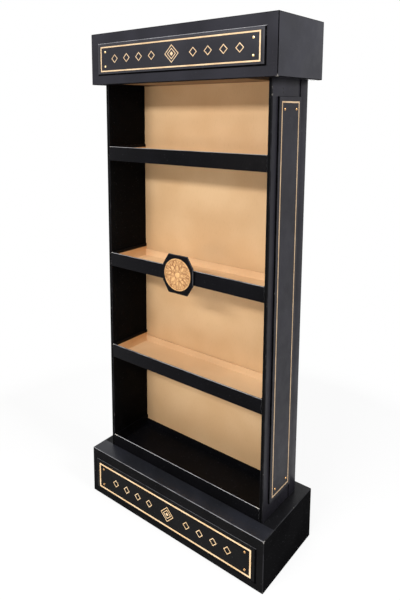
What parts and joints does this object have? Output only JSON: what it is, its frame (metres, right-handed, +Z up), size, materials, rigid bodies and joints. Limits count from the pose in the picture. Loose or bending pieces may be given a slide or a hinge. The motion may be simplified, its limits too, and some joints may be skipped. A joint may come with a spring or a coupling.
{
  "type": "cardboard display stand",
  "caption": "Tall free-standing corrugated shelf display with plinth, header box, shelf trays and gold-lined sign plates.",
  "frame": {"origin": "centre of the stand's footprint on the floor", "axes": "+Z up, the open front faces -Y, +X to the right seen from the front"},
  "size_m": [0.777, 0.337, 1.783],
  "materials": {
    "black_board": "matt laminated print",
    "tray_board": "matt laminated print, kraft inside",
    "kraft_board": "smooth gold-brown kraft",
    "plain_board": "plain brown corrugated",
    "gold_foil": "hot-stamped gold foil",
    "brass_studs": "polished",
    "gold_disc": "embossed gold-brown board"
  },
  "bodies": {
    "root": {"back_liner": "kraft_board", "back_panel": "black_board", "base_box": "black_board", "base_brace_cross_left": "plain_board", "base_brace_cross_right": "plain_board", "base_brace_long": "plain_board", "base_gold_frame": "gold_foil", "base_gold_ornament": "gold_foil", "base_sign_plate": "black_board", "base_studs": "brass_studs", "bottom_tray": "black_board", "ceiling_panel": "kraft_board", "header_box": "black_board", "header_gold_frame": "gold_foil", "header_gold_ornament": "gold_foil", "header_sign_plate": "black_board", "header_studs": "brass_studs", "medallion_disc": "gold_disc", "medallion_plate": "black_board", "medallion_spacer": "black_board", "shelf_tray_lower": "tray_board", "shelf_tray_middle": "tray_board", "shelf_tray_upper": "tray_board", "side_gold_frame_left": "gold_foil", "side_gold_frame_right": "gold_foil", "side_panel_left": "black_board", "side_panel_right": "black_board", "side_plate_left": "black_board", "side_plate_right": "black_board", "side_studs_left": "brass_studs", "side_studs_right": "brass_studs"}
  },
  "joints": []
}
